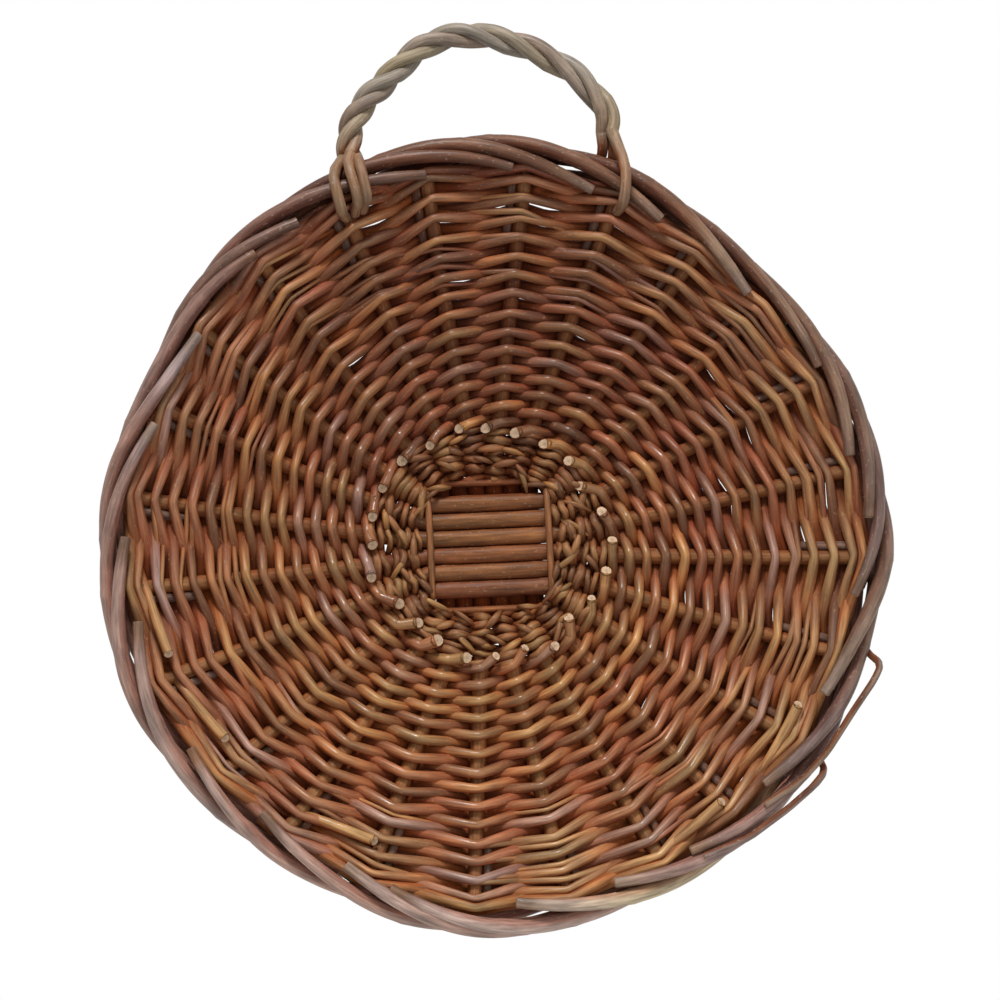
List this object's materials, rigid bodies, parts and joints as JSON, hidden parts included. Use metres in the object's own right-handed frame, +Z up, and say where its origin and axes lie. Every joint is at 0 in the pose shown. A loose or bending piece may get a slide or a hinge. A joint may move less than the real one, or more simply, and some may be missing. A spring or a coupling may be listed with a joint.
{
  "type": "round willow wall basket",
  "caption": "Shallow round willow basket woven on spokes, with a rolled border and a twisted handle to hang it on a wall.",
  "frame": {"origin": "under the twisted handle, where a hook or peg carries the basket", "axes": "+Z up, +Y back to the wall, the hollow of the dish faces -Y"},
  "size_m": [0.3948, 0.0678, 0.4563],
  "materials": {
    "base_stick": "dried willow with bark, satin",
    "binding": "thin dried willow, satin",
    "weaver": "dried brown willow, half gloss",
    "border": "thick dried willow, mauve brown, satin",
    "handle": "twisted willow, grey brown, matt"
  },
  "bodies": {
    "root": {"base_stick_across_1": "base_stick", "base_stick_across_2": "base_stick", "base_stick_across_3": "base_stick", "base_stick_across_4": "base_stick", "base_stick_across_5": "base_stick", "base_stick_across_6": "base_stick", "base_stick_upright_1": "base_stick", "base_stick_upright_2": "base_stick", "base_stick_upright_3": "base_stick", "base_stick_upright_4": "base_stick", "base_stick_upright_5": "base_stick", "base_stick_upright_6": "base_stick", "slath_tie_inner": "binding", "slath_tie_outer": "binding", "pairing_weaver_1": "binding", "pairing_weaver_2": "binding", "rand_weaver_01": "weaver", "rand_weaver_02": "weaver", "rand_weaver_03": "weaver", "rand_weaver_04": "weaver", "rand_weaver_05": "weaver", "rand_weaver_06": "weaver", "rand_weaver_07": "weaver", "rand_weaver_08": "weaver", "rand_weaver_09": "weaver", "rand_weaver_10": "weaver", "rand_weaver_11": "weaver", "rand_weaver_12": "weaver", "rand_weaver_13": "weaver", "rand_weaver_14": "weaver", "rand_weaver_15": "weaver", "rand_weaver_16": "weaver", "rand_weaver_17": "weaver", "rand_weaver_18": "weaver", "rand_weaver_19": "weaver", "rand_weaver_20": "weaver", "rand_weaver_21": "weaver", "rand_weaver_22": "weaver", "rand_weaver_23": "weaver", "rand_weaver_24": "weaver", "border_stakes_1_2": "border", "border_stakes_3_4": "border", "border_stakes_5_6": "border", "border_stakes_7_8": "border", "border_stakes_9_10": "border", "border_stakes_11_12": "border", "border_stakes_13_14": "border", "border_stakes_15_16": "border", "border_stakes_17_18": "border", "border_stakes_19_20": "border", "border_stakes_21_22": "border", "border_stakes_23_24": "border", "handle_rod_1": "handle", "handle_rod_2": "handle", "handle_rod_3": "handle"}
  },
  "joints": []
}
